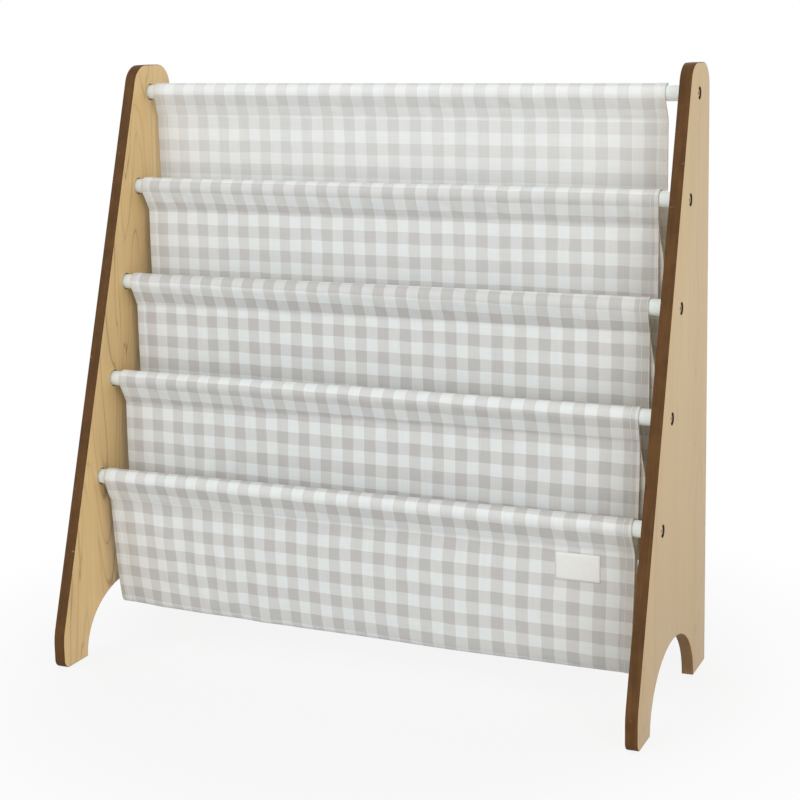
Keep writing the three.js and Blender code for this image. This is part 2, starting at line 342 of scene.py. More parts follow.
def maple_laminate(name, base, grain, strength, foot, seed):
    """Melamine laminate printed with maple grain and pressed to a satin face. Thin dark
    cathedral loops and fine upright lines show, with a soft sheen at low angles. Foot is
    how far painted shade takes the face towards the grain's colour near the floor."""
    material, tree = new_material(name)
    place = add_node(tree, "TexCoord").outputs["Object"]
    # Loops about 40 mm wide and ten times as long: growth rings cut lengthwise
    wide = add_node(tree, "Mapping", {
        "Vector": place, "Location": (seed, seed * 0.7, seed * 0.3),
        "Scale": (3, 19, 2.2)})
    field = add_node(tree, "TexNoise", {
        "Vector": wide, "Scale": 1.0, "Detail": 3.0, "Roughness": 0.36,
        "Distortion": 0.7})
    rings = add_node(tree, "Math", {0: field, 1: 22.0}, operation="MULTIPLY")
    loop = add_node(tree, "Math", {0: rings, 1: 1.0}, operation="PINGPONG")
    line = add_node(tree, "MapRange", {"Value": loop, "From Min": 0.88, "From Max": 0.99})
    wash = add_node(tree, "MapRange", {
        "Value": loop, "From Min": 0.2, "From Max": 1.0, "To Max": 0.16})
    # Slow change of tone from one board-wide band to the next, about 60 mm
    slow = add_node(tree, "Mapping", {
        "Vector": place, "Location": (0, seed, 0), "Scale": (3, 24, 1.6)})
    band = add_node(tree, "TexNoise", {"Vector": slow, "Scale": 1.0, "Detail": 2.0})
    bands = add_node(tree, "MapRange", {
        "Value": band, "From Min": 0.3, "From Max": 0.7, "To Max": 0.3})
    drawn = add_node(tree, "MapRange", {
        "Value": band, "From Min": 0.38, "From Max": 0.56, "To Max": 1.1})
    share = add_node(tree, "Math", {0: line, 1: drawn}, operation="MULTIPLY")
    # Fibre lines 1.2 mm apart; real ones are nearer 0.3 mm and would not show
    thin = add_node(tree, "Mapping", {
        "Vector": place, "Location": (seed, 0, 0), "Scale": (3, 420, 5)})
    fibre = add_node(tree, "TexNoise", {
        "Vector": thin, "Scale": 1.0, "Detail": 3.0, "Roughness": 0.6})
    lines = add_node(tree, "MapRange", {
        "Value": fibre, "From Min": 0.42, "From Max": 0.75, "To Max": 0.3})
    for part in (wash, bands, lines):
        share = add_node(tree, "Math", {0: share, 1: part}, operation="ADD")
    # Painted shade: the face goes over towards the grain's colour near the floor, over
    # its lowest 0.4 m
    height = add_node(tree, "SeparateXYZ", {0: place}).outputs["Z"]
    floor_shade = add_node(tree, "MapRange", {
        "Value": height, "From Max": 0.4, "To Min": foot, "To Max": 0.0})
    share = add_node(tree, "Math", {0: share, 1: strength, 2: floor_shade},
                     operation="MULTIPLY_ADD")
    tone = add_node(tree, "Mix", {"Factor": share, 6: rgba(base), 7: rgba(grain)},
                    data_type="RGBA")
    # Pressed pores follow the fibre lines, a few hundredths of a millimetre deep
    pores = add_node(tree, "Bump", {
        "Height": lines, "Strength": 0.25, "Distance": 0.05 * MM})
    return surface(material, {
        "Base Color": tone, "Normal": pores, "Roughness": 0.46, "IOR": 1.5})


def walnut_edge_band(name, base):
    """Walnut-print PVC edge band, hot-glued on and scraped. A dark, faintly streaked
    satin strip that runs along every edge of the board."""
    material, tree = new_material(name)
    place = add_node(tree, "TexCoord").outputs["Object"]
    # Streaks 1.5 mm wide across the board's thickness, and long the other way
    along = add_node(tree, "Mapping", {"Vector": place, "Scale": (560, 30, 22)})
    streak = add_node(tree, "TexNoise", {
        "Vector": along, "Scale": 1.0, "Detail": 3.0, "Roughness": 0.55})
    blotch = add_node(tree, "TexNoise", {"Vector": place, "Scale": 55.0, "Detail": 2.0})
    mixed = add_node(tree, "Math", {0: streak, 1: blotch}, operation="ADD")
    share = add_node(tree, "MapRange", {
        "Value": mixed, "From Min": 0.7, "From Max": 1.35})
    tone = add_node(tree, "Mix", {
        "Factor": share, 6: rgba(base, 0.75), 7: rgba(base, 1.25)}, data_type="RGBA")
    # A few pale nicks, 2 to 3 mm long, where the scraper caught the print
    nick = add_node(tree, "TexNoise", {"Vector": place, "Scale": 150.0, "Detail": 1.0})
    nicks = add_node(tree, "MapRange", {
        "Value": nick, "From Min": 0.76, "From Max": 0.82, "To Max": 0.55})
    tone = add_node(tree, "Mix", {"Factor": nicks, 6: tone, 7: rgba(linear("#B08560"))},
                    data_type="RGBA")
    rough = add_node(tree, "Bump", {
        "Height": streak, "Strength": 0.3, "Distance": 0.08 * MM})
    # Scraping leaves the band dull, so it mirrors little of the lamps
    return surface(material, {
        "Base Color": tone, "Normal": rough, "Roughness": 0.62, "IOR": 1.5,
        "Specular IOR Level": 0.15})


def drilled_core(name):
    """Drilled particle board, raw inside the holes: crumbs of wood, their brown drawn
    dark as painted shade deep in the holes.
    """
    material, tree = new_material(name)
    place = add_node(tree, "TexCoord").outputs["Object"]
    crumbs = add_node(tree, "TexVoronoi", {"Vector": place, "Scale": 900.0})
    # Painted shade: both tones are far darker than raw board, standing for the shade in
    # the holes
    tone = add_node(tree, "Mix", {
        "Factor": crumbs, 6: rgba(linear("#3F2B16")), 7: rgba(linear("#24180C"))},
        data_type="RGBA")
    rough = add_node(tree, "Bump", {
        "Height": crumbs, "Strength": 0.6, "Distance": 0.3 * MM})
    return surface(material, {"Base Color": tone, "Normal": rough, "Roughness": 0.85})


def lacquered_steel(name, base):
    """White stoving lacquer sprayed on steel tube: glossy, with a faint orange peel."""
    material, tree = new_material(name)
    place = add_node(tree, "TexCoord").outputs["Object"]
    tint = add_node(tree, "TexNoise", {"Vector": place, "Scale": 30.0})
    tone = add_node(tree, "Mix", {"Factor": tint, 6: rgba(base), 7: rgba(base, 0.96)},
                    data_type="RGBA")
    peel = add_node(tree, "TexNoise", {"Vector": place, "Scale": 420.0, "Detail": 1.0})
    bump = add_node(tree, "Bump", {
        "Height": peel, "Strength": 0.15, "Distance": 0.05 * MM})
    return surface(material, {
        "Base Color": tone, "Normal": bump, "Roughness": 0.2, "IOR": 1.52,
        "Coat Weight": 0.3, "Coat Roughness": 0.08})


def zinc_plated_steel(name, base):
    """Cold-headed steel, zinc plated and yellow passivated: dull, with a warm cast and
    fine turning marks about the axis."""
    material, tree = new_material(name)
    place = add_node(tree, "TexCoord").outputs["Object"]
    cloudy = add_node(tree, "TexNoise", {"Vector": place, "Scale": 700.0})
    tone = add_node(tree, "Mix", {"Factor": cloudy, 6: rgba(base), 7: rgba(base, 0.75)},
                    data_type="RGBA")
    marks = add_node(tree, "Mapping", {"Vector": place, "Scale": (2600, 90, 90)})
    turned = add_node(tree, "TexNoise", {"Vector": marks, "Scale": 1.0, "Detail": 2.0})
    bump = add_node(tree, "Bump", {
        "Height": turned, "Strength": 0.2, "Distance": 0.02 * MM})
    return surface(material, {
        "Base Color": tone, "Normal": bump, "Metallic": 1.0, "Roughness": 0.5})


def stripe(tree, coordinate, period):
    """1 on the dyed half of each period of a coordinate, and 0 on the pale half."""
    turns = add_node(tree, "Math", {0: coordinate, 1: period}, operation="DIVIDE")
    part = add_node(tree, "Math", {0: turns}, operation="FRACT")
    middle = add_node(tree, "Math", {0: part, 1: 0.5}, operation="SUBTRACT")
    reach = add_node(tree, "Math", {0: middle}, operation="ABSOLUTE")
    # The dye line wanders over one thread, about 0.4 mm
    return add_node(tree, "MapRange", {
        "Value": reach, "From Min": 0.26, "From Max": 0.24})


def gingham_cotton(name, cloth, weight):
    """Plain-woven yarn-dyed cotton canvas in a two-stripe gingham. Squares of three
    tones, thread by thread texture and the soft sheen of washed cotton. A cloth given
    some paling has its squares lifted towards white and closer to each other: painted
    light, for light that shines through the thin cloth from behind."""
    # Painted light: the white that the squares are lifted towards, where light shines
    # through the cloth
    lit_white = linear("#F1F2F0")
    pale, middle, deep = (
        rgba([c + (b - c) * weight for c, b in zip(tone, lit_white)])
        for tone in (cloth.pale, cloth.middle, cloth.deep))
    material, tree = new_material(name)
    flat = add_node(tree, "UVMap", uv_map="cut")
    # Threads wander by up to 0.5 mm over some 30 mm
    drift = add_node(tree, "TexNoise", {"Vector": flat, "Scale": 34.0, "Detail": 2.0})
    centred = add_node(tree, "VectorMath", {
        0: drift.outputs["Color"], 1: (0.5, 0.5, 0.5)}, operation="SUBTRACT")
    small = add_node(tree, "VectorMath", {0: centred, "Scale": 2.4 * MM},
                     operation="SCALE")
    moved = add_node(tree, "VectorMath", {0: flat, 1: small}, operation="ADD")
    axes = add_node(tree, "SeparateXYZ", {0: moved})
    across, down = (stripe(tree, axes.outputs[axis], 2 * cloth.check) for axis in "XY")
    both = add_node(tree, "Math", {0: across, 1: down}, operation="MULTIPLY")
    either = add_node(tree, "Math", {0: across, 1: down}, operation="MAXIMUM")
    one = add_node(tree, "Mix", {"Factor": either, 6: pale, 7: middle}, data_type="RGBA")
    two = add_node(tree, "Mix", {"Factor": both, 6: one, 7: deep}, data_type="RGBA")
    # Slubs: threads a little darker or lighter than their neighbours
    warp, weft = (
        add_node(tree, "TexNoise", {"Scale": 1.0, "Vector": add_node(
            tree, "Mapping", {"Vector": flat, "Scale": scale})})
        for scale in ((700, 20, 1), (20, 700, 1)))
    slubs = add_node(tree, "Math", {0: warp, 1: weft}, operation="ADD")
    shade = add_node(tree, "MapRange", {
        "Value": slubs, "From Min": 0.6, "From Max": 1.4, "To Min": 0.955,
        "To Max": 1.03})
    toned = add_node(tree, "VectorMath", {0: two, "Scale": shade}, operation="SCALE")
    # Weave relief: threads drawn 1.1 mm apart, real ones lie about 0.4 mm apart
    phases = [add_node(tree, "Math", {0: axes.outputs[axis], 1: 2 * math.pi / (1.1 * MM)},
                       operation="MULTIPLY") for axis in "XY"]
    waves = [add_node(tree, "Math", {0: phase}, operation="SINE") for phase in phases]
    weave = add_node(tree, "Math", {0: waves[0], 1: waves[1]}, operation="MULTIPLY")
    relief = add_node(tree, "Bump", {
        "Height": weave, "Strength": 0.35, "Distance": 0.12 * MM})
    return surface(material, {
        "Base Color": toned, "Normal": relief, "Roughness": 0.9, "IOR": 1.45,
        "Specular IOR Level": 0.3, "Sheen Weight": 0.12, "Sheen Roughness": 0.5})


def cotton_thread(name, base):
    """Three-ply mercerised cotton sewing thread: twisted, with a slight gloss."""
    material, tree = new_material(name)
    place = add_node(tree, "TexCoord").outputs["Object"]
    # Plies drawn 0.5 mm long on the thread, real ones are nearer 0.3 mm
    twist = add_node(tree, "TexWave", {
        "Vector": place, "Scale": 600.0, "Distortion": 1.5}, bands_direction="DIAGONAL")
    tone = add_node(tree, "Mix", {
        "Factor": twist.outputs["Fac"], 6: rgba(base, 0.86), 7: rgba(base)},
        data_type="RGBA")
    return surface(material, {"Base Color": tone, "Roughness": 0.6, "IOR": 1.5})


def woven_ribbon(name, base):
    """Taffeta label ribbon, woven and heat cut: fine cross ribs and a silky sheen."""
    material, tree = new_material(name)
    place = add_node(tree, "TexCoord").outputs["Object"]
    cloudy = add_node(tree, "TexNoise", {"Vector": place, "Scale": 160.0})
    tone = add_node(tree, "Mix", {"Factor": cloudy, 6: rgba(base), 7: rgba(base, 0.94)},
                    data_type="RGBA")
    # Ribs drawn 0.9 mm apart, real ones lie about 0.3 mm apart
    ribs = add_node(tree, "TexWave", {
        "Vector": place, "Scale": 350.0, "Distortion": 0.6}, bands_direction="Z")
    bump = add_node(tree, "Bump", {
        "Height": ribs.outputs["Fac"], "Strength": 0.25, "Distance": 0.06 * MM})
    return surface(material, {
        "Base Color": tone, "Normal": bump, "Roughness": 0.62, "IOR": 1.5,
        "Sheen Weight": 0.15})


# Side panels

SOCKET_DEPTH = 3 * MM           # of a rod's end in the panel
SOCKET_FIT = 0.8 * MM           # round the rod, wide enough to show as a dark ring
BOLT_HOLE = 3.3 * MM            # radius
BORE_RADIUS = 6 * MM            # of the counterbore for the bolt's head
BORE_DEPTH = 5.5 * MM
BORE_BEVEL = 0.3 * MM
BORE_BEVEL_DEPTH = 0.35 * MM
HOLE_SIDES = 48
HOLE_REACH = 12 * MM            # faces this near a hole's middle belong to the hole
BROAD = 1e-3                    # square metres, that only a panel's own two faces have


def rounded_corner(before, corner, after, radius, steps):
    """The points of a rounded corner of an outline."""
    back = (before - corner).normalized()
    onward = (after - corner).normalized()
    half = math.acos(back.dot(onward)) / 2
    centre = corner + (back + onward).normalized() * (radius / math.sin(half))
    start = corner + back * (radius / math.tan(half)) - centre
    end = corner + onward * (radius / math.tan(half)) - centre
    sweep = start.angle(end) * (1 if start.cross(end) > 0 else -1)
    return [centre + Matrix.Rotation(sweep * step / steps, 2) @ start
            for step in range(steps + 1)]


def panel_outline(panel, low, high):
    """The side panel's outline in depth and height, run anticlockwise."""
    foot_back = Vector((high.y, 0))
    top_back = Vector((high.y, high.z))
    top_front = Vector((high.y - panel.top_depth, high.z))
    toe_top = Vector((low.y, panel.toe_height))
    toe_bottom = Vector((low.y, 0))
    arch_front = Vector((low.y + panel.front_foot, 0))
    arch_back = Vector((high.y - panel.back_foot, 0))
    points = [foot_back]
    for before, corner, after, radius, steps in (
            (foot_back, top_back, top_front, panel.corner_radius, 18),
            (top_back, top_front, toe_top, panel.corner_radius, 18),
            (top_front, toe_top, toe_bottom, panel.toe_blend, 8),
            (toe_top, toe_bottom, arch_front, panel.toe_radius, 10)):
        points += rounded_corner(before, corner, after, radius, steps)
    middle = (arch_front + arch_back) / 2
    half = (arch_back.x - arch_front.x) / 2
    for angle in np.linspace(math.pi, 0, 73):
        points.append(middle + Vector((half * math.cos(angle),
                                       panel.arch_height * math.sin(angle))))
    return points


def inset_outline(points, amount):
    """The outline drawn in by an amount, square to each of its edges."""
    if amount == 0:
        return list(points)
    inset = []
    for index, here in enumerate(points):
        onward = points[(index + 1) % len(points)] - here
        back = here - points[index - 1]
        a = Vector((-back.y, back.x)).normalized()
        b = Vector((-onward.y, onward.x)).normalized()
        middle = (a + b).normalized()
        inset.append(here + middle * (amount / max(middle.dot(b), 0.5)))
    return inset


def drill_mesh(inner, outer, side):
    """What is drilled out of a panel: for each rod a socket in the inner face, a hole for
    the bolt, and a counterbore in the outer face. Side is +1 where X runs outward."""
    over = 1 * MM
    socket = rod_radius() + SOCKET_FIT
    profile = [
        (0, inner - side * over), (socket, inner - side * over),
        (socket, inner + side * SOCKET_DEPTH), (BOLT_HOLE, inner + side * SOCKET_DEPTH),
        (BOLT_HOLE, outer - side * BORE_DEPTH), (BORE_RADIUS, outer - side * BORE_DEPTH),
        (BORE_RADIUS, outer - side * BORE_BEVEL_DEPTH), (BORE_RADIUS + BORE_BEVEL, outer),
        (BORE_RADIUS + BORE_BEVEL, outer + side * over), (0, outer + side * over)]
    points, faces = lathe(profile, HOLE_SIDES)
    every = np.concatenate([points + (0, *rod_centre(tier)) for tier in TIERS])
    return closed_mesh("drill", every, [
        tuple(index + hole * len(points) for index in face)
        for hole in range(len(TIERS)) for face in faces])


def panel_mesh(name, side, panel, low, high):
    """A board with eased edges, drilled for the rods and bolts."""
    outline = panel_outline(panel, low, high)
    # Rings across the thickness: how far each one is drawn in, and where it lies
    by = panel.edge_ease
    steps = [(by * (1 - math.sin(turn)), by * (1 - math.cos(turn)))
             for turn in np.linspace(0, math.pi / 2, 5)]
    rings = steps + [(inset, high.x - low.x - along) for inset, along in reversed(steps)]
    points = [(low.x + along, p.x, p.y)
              for inset, along in rings for p in inset_outline(outline, inset)]
    faces = ring_faces(len(rings), len(outline), caps=True)
    board = link_object(name, closed_mesh(name, points, faces))
    inner, outer = (low.x, high.x) if side > 0 else (high.x, low.x)
    cutter = link_object("drill", drill_mesh(inner, outer, side))
    drill = board.modifiers.new("drill", "BOOLEAN")
    drill.operation = "DIFFERENCE"
    drill.solver = "EXACT"
    drill.object = cutter
    graph = bpy.context.evaluated_depsgraph_get()
    drilled = bpy.data.meshes.new_from_object(board.evaluated_get(graph))
    for helper in (board, cutter):
        bpy.data.objects.remove(helper)
    smooth_by_angle(drilled, 32)
    return drilled


def finish_of_face(face, side, panel, low, high, holes):
    """Which finish a face of a board has: 0 and 1 are the inner and outer laminate, 2 the
    band, 3 the core in the holes, and 4 the band where it is bent round the arch."""
    centre = face.center
    flat = abs(face.normal.x) > 0.98
    drilled = min(math.dist(centre.yz, hole) for hole in holes) < HOLE_REACH
    if flat and (face.area > BROAD or not drilled):
        return 1 if (centre.x - (low.x + high.x) / 2) * side > 0 else 0
    if drilled:
        return 3
    arch = (low.y + panel.front_foot - MM < centre.y < high.y - panel.back_foot + MM
            and 0.5 * MM < centre.z < panel.arch_height)
    return 4 if arch else 2


class BOOKSHELF_OT_panels(bpy.types.Operator):
    """Make both side panels with their laminate, edge band and drilled holes"""

    bl_idname = "bookshelf.panels"
    bl_label = "Side panels"

    def execute(self, context):
        panel = context.scene.bookshelf_panel
        finishes = (
            # The inner and outer colours differ as painted light, for how each face is
            # lit
            maple_laminate("maple laminate, satin, inner", panel.inner_face,
                           panel.grain, strength=0.36, foot=0.0, seed=3.1),
            maple_laminate("maple laminate, satin, outer", panel.outer_face,
                           panel.grain, strength=0.16, foot=0.24, seed=8.4),
            walnut_edge_band("walnut PVC edge band", panel.edge_band),
            drilled_core("particle board, drilled"),
            # The same band in a paler colour, on the faces round the arch
            walnut_edge_band("walnut PVC edge band, paler round the arch", panel.arch_band))
        holes = [rod_centre(tier) for tier in TIERS]
        for word, side in SIDES.items():
            low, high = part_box(f"{word}_side_panel")
            mesh = panel_mesh(f"{word}_board", side, panel, low, high)
            link_piece(f"{word}_board", mesh, "laminated_board", finishes,
                       f"{word}_side_panel")
            for face in mesh.polygons:
                face.material_index = finish_of_face(face, side, panel, low, high, holes)
            mesh.update()
        return {"FINISHED"}


# Rods and fixings

ROD_SIDES = 72
ROD_EDGE = 0.4 * MM             # rounding of a rod's end
BOLT_SIDES = 48
HEAD_SEAT = 5.2 * MM            # depth of the seat of a bolt's head below the outer face
HEAD_HEIGHT = 4.3 * MM
SHANK_RADIUS = 3 * MM
SHANK_LENGTH = 16 * MM
SHANK_POINT = 0.9 * MM          # bevel at the shank's tip
KEY_DEPTH = 2 * MM
KEY_BEVEL = 0.15 * MM
KEY_RIM = 0.55 * MM             # flat top of the head round the key socket
HEAD_BEVEL = 0.2 * MM
# The dome of a bolt's head: how far in from its side, and how far down from its top
HEAD_DOME = ((0, 1.6 * MM), (0.25 * MM, 1.0 * MM), (0.9 * MM, 0.45 * MM),
             (1.8 * MM, 0.1 * MM))


class BOOKSHELF_OT_rods(bpy.types.Operator):
    """Make the five white lacquered rods"""

    bl_idname = "bookshelf.rods"
    bl_label = "Rods"

    def execute(self, context):
        rods = context.scene.bookshelf_rod
        lacquer = lacquered_steel("white stoving lacquer on steel", rods.lacquer)
        for tier in TIERS:
            low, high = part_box(f"rod_{tier}")
            radius, reach = (high.z - low.z) / 2, high.x
            bore = radius - rods.wall
            end = [(bore, reach), (radius - ROD_EDGE, reach),
                   (radius - ROD_EDGE * 0.3, reach - ROD_EDGE * 0.3),
                   (radius, reach - ROD_EDGE)]
            profile = [(r, -x) for r, x in end] + end[::-1] + [(bore, -reach)]
            points, faces = lathe(profile, ROD_SIDES)
            name = f"lacquered_rod_{tier}"
            mesh = closed_mesh(name, points + (0, *rod_centre(tier)), faces)
            smooth_by_angle(mesh, 50)
            link_piece(name, mesh, "white_rod", (lacquer,), f"rod_{tier}")
        return {"FINISHED"}


def bolt_mesh(name, side, rods, seat, y, z):
    """A domed bolt head with a hex key socket, and its plain shank."""
    head = rods.head_diameter / 2
    flats = rods.hex_flats / 2
    top = HEAD_HEIGHT
    # Rings of (radius, place along the bolt). A radius of 0 makes the key's hexagon.
    rings = [
        (SHANK_RADIUS - SHANK_POINT, -SHANK_LENGTH),
        (SHANK_RADIUS, SHANK_POINT - SHANK_LENGTH), (SHANK_RADIUS, 0),
        (head - HEAD_BEVEL, 0), (head, HEAD_BEVEL),
        *((head - inward, top - down) for inward, down in HEAD_DOME),
        (flats + KEY_RIM, top), (0, top - KEY_BEVEL), (0, top - KEY_DEPTH)]
    points = []
    for radius, along in rings:
        for angle in np.arange(BOLT_SIDES) * 2 * math.pi / BOLT_SIDES:
            r = radius or flats / math.cos(angle % (math.pi / 3) - math.pi / 6)
            points.append((side * (seat + along),
                           y + r * math.cos(angle), z + r * math.sin(angle)))
    mesh = closed_mesh(name, points, ring_faces(len(rings), BOLT_SIDES, caps=True))
    smooth_by_angle(mesh, 35)
    return mesh


class BOOKSHELF_OT_fixings(bpy.types.Operator):
    """Make the bolts in the side panels and finish the inserts in the rods"""

    bl_idname = "bookshelf.fixings"
    bl_label = "Bolts and inserts"

    def execute(self, context):
        rods = context.scene.bookshelf_rod
        zinc = zinc_plated_steel("zinc-plated steel, cold headed", rods.zinc)
        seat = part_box("right_side_panel")[1].x - HEAD_SEAT
        for word, side in SIDES.items():
            for tier in TIERS:
                name = f"{word}_socket_bolt_{tier}"
                mesh = bolt_mesh(name, side, rods, seat, *rod_centre(tier))
                link_piece(name, mesh, "zinc_steel", (zinc,), f"{word}_bolt_{tier}")
                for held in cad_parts[f"{word}_insert_{tier}"].material_slots:
                    held.material = zinc
        return {"FINISHED"}


# Cloth sling

SEAM_BACK = 4 * MM              # the seam lies this far behind the rod's middle
SEAM_DROP = 25 * MM             # and this far below it
FRONT_LAYER = -1.0 * MM         # places of the seam's layers of cloth, behind its middle
MIDDLE_LAYER = 0.1 * MM
BACK_LAYER = 1.2 * MM
WALL_LAYER = 1.4 * MM           # and of a pocket's front wall, once clear of the seam
LOOSE_BACK = 0.3 * MM           # of the back layer from the middle one, in a seam of two
WALL_LEAVES = 14 * MM           # height in which a front wall leaves its seam's layer
SLEEVE_STAND = 0.9 * MM         # the sleeve's middle line, off the rod
# A sleeve's tail, from its hem up to its seam: how far out and how far down
TAIL = ((1.3 * MM, 6 * MM), (0.4 * MM, 3 * MM), (0, 0))
TUCK = (1.5 * MM, 6 * MM)       # first and last row of a front wall above its seam
TUCK_ROWS = 4
POCKET_DROP = 143 * MM          # lowest point of a pocket below its front rod
FOLD_RADIUS = 5.5 * MM
GRID = 6 * MM                   # spacing of the simulated cloth
FINE = 3 * MM                   # spacing of the finished cloth
FINE_ROUND_ROD = 2 * MM         # and of its rows round a rod
HANG_FRAMES = 30
MOST_MOVE = 9 * MM              # of any point while the cloth hangs
WALLS_APART = 1.5 * MM          # from a hanging wall to the cloth behind it, in depth
SEAM_ROOM = 4 * MM              # below a wall's top, where nothing is pushed back
STITCH_IN = 1.1 * MM            # from the hem's inner edge to its stitches
# Painted light: how far each strip's squares are lifted towards white, for light that
# shines through the cloth from behind
LIT_THROUGH_PALING = (0.3, 0.1, 0.0, 0.0)    # the top strip, lit through its single layer, is palest
# The lowest pocket: how far its sides draw in, and how its fold tilts and sags
LEFT_DRAW = 3.5 * MM
RIGHT_DRAW = 3 * MM
CORNER_DRAW = 6 * MM            # more on the left, near the fold
CORNER_REACH = 17 * MM
FOLD_TILT = 6 * MM
FOLD_SAG = 3.4 * MM
SAG_TILT = 1.3 * MM
# The pockets above it: their left side draws in, and their right side flares out
UPPER_DRAW = 2 * MM
UPPER_FLARE = 4.5 * MM
FLARE_FROM = 66 * MM            # down from the back seam
FLARE_GROWS = 50 * MM
FLARE_FADES = 40 * MM           # up to the front seam
UPPER_RISE = 1 * MM
UPPER_TILT = 3 * MM
# Swells, puckers and gathers: height, size and reach
WIDE_SWELL = 1.6 * MM
WIDE_SIZE = 170 * MM
LEFT_SWELLS = (0.72 * MM, 0.9 * MM, 1.62 * MM, 2.34 * MM)   # by strip
LEFT_SIZE = 60 * MM
LEFT_PLACE = -0.62              # in half widths
LEFT_REACH = 0.3
PUCKER = 0.4 * MM
PUCKER_SIZE = 22 * MM
PUCKER_STAND = 0.2 * MM         # of all puckers, off the sleeve's line
PUCKER_STARTS = 5 * MM          # above the seam
PUCKER_ENDS = 26 * MM
PUCKER_FADES = 10 * MM
GATHER = 0.5 * MM
GATHER_SIZE = 30 * MM
GATHER_STARTS = 4 * MM          # below the seam
GATHER_REACH = 16 * MM
SEEDS = {"wide": 10, "left": 30, "pucker": 50, "gather": 70}
# Along a sleeve from its front seam: where its ends go over from the wall's to the
# rod's, and where they draw in behind the rod
ENDS_BLEND = 28 * MM
BEHIND_DRAW = 4 * MM
BEHIND_FROM = 45 * MM
BEHIND_GROWS = 20 * MM
# Thickness of the cloth at its hems, its hem stitches and its seams
HEM_MORE_SHARE = 0.85
SUNK_SHARE = 0.35
HEM_STEP = 0.35 * MM
STITCH_LINE = 0.45 * MM
SEAM_LINE = 1.3 * MM
# How far the cloth passes the end of its sleeve, left and right, by tier
ROD_ENDS = ((-0.1 * MM, -1.1 * MM), (-0.8 * MM, 1.5 * MM), (0.8 * MM, 0.5 * MM),
            (2.0 * MM, 0.4 * MM), (-1.4 * MM, 3.1 * MM))
WALL_ENDS = ((-3.1 * MM, -0.8 * MM), (0.6 * MM, -1.2 * MM), (0.8 * MM, -0.8 * MM),
             (2.0 * MM, -1.2 * MM), (-2.0 * MM, 3.0 * MM))
# Where the dyed stripes lie by tier: middle of a stripe across, middle of a stripe down
# from the seam, and how far the stripes fall towards the right per metre
STRIPE_ACROSS = (13.9 * MM, -1.0 * MM, 1.0 * MM, -1.2 * MM, -3.2 * MM)
STRIPE_DOWN = (8.9 * MM, 21.9 * MM, 16.4 * MM, 1.1 * MM, 8.7 * MM)
STRIPE_FALL = (0.0037, 0.0028, 0.0094, 0.0094, 0.0100)
# How far the lowest front wall's stripes bow aside, as a polynomial in half widths, and
# how much of that they give back towards the rod
BOW_SPAN = 176 * MM
WALL_BOW = (4.2 * MM, -2.0 * MM, -2.6 * MM)
ROD_BOW = (2.7 * MM, -0.3 * MM, -4.1 * MM)
BOW_EASES = (-40 * MM, 60 * MM)     # from where, above the rod's seam, and over how far
MATCH = (75 * MM, 120 * MM)         # the same, down the lowest strip, for its two parts
TOP_SHIFT = (2 * MM, 1 * MM, 9 * MM)    # of the rows on rod 1, from where, over how far
LAST_SHIFT = (1.3 * MM, 12 * MM)    # of the rows on rod 5, over how far
# A washed cotton canvas: firm along its threads and limp across them
CLOTH_WEAR = {
    "quality": 7, "mass": 0.28, "air_damping": 4.0, "tension_stiffness": 25,
    "compression_stiffness": 25, "shear_stiffness": 6, "bending_stiffness": 1.2,
    "tension_damping": 8, "compression_damping": 8, "shear_damping": 8,
    "bending_damping": 1.0, "vertex_group_mass": "sewn"}
# A stitch as rings of (place along it, share of its radius)
STITCH_RINGS = ((-0.5, 0.35), (-0.36, 0.9), (0.0, 1.0), (0.36, 0.9), (0.5, 0.35))
STITCH_SIDES = 6
STITCH_RADIUS = 0.3 * MM


def cloth_ends(tier, wall):
    """Where the cloth of a tier ends along X, on the rod or on the wall below it."""
    low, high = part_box(f"sleeve_{tier}")
    left, right = (WALL_ENDS if wall else ROD_ENDS)[tier - 1]
    return low.x + left, high.x + right


def sleeve_line(tier):
    """The middle line of the sleeve in depth and height, from its tail behind the seam,
    up and over the rod, and down to the seam in front."""
    radius = rod_radius() + SLEEVE_STAND
    # Only the rods between two pockets hold a third layer in their seams
    behind = BACK_LAYER if 1 < tier < len(TIERS) else MIDDLE_LAYER + LOOSE_BACK
    tail = [(SEAM_BACK + behind + out, -SEAM_DROP - low) for out, low in TAIL]
    # Both sides leave the rod at a tangent
    start, end = (
        math.atan2(-SEAM_DROP, SEAM_BACK + layer)
        + turn * math.acos(radius / math.hypot(SEAM_BACK + layer, SEAM_DROP))
        for layer, turn in ((behind, 1), (FRONT_LAYER, -1)))
    angles = np.linspace(start, end + (2 * math.pi if end < start else 0), 40)
    arc = radius * np.stack([np.cos(angles), np.sin(angles)], 1)
    line = np.concatenate([tail, arc, [(SEAM_BACK + FRONT_LAYER, -SEAM_DROP)]])
    return line + rod_centre(tier)


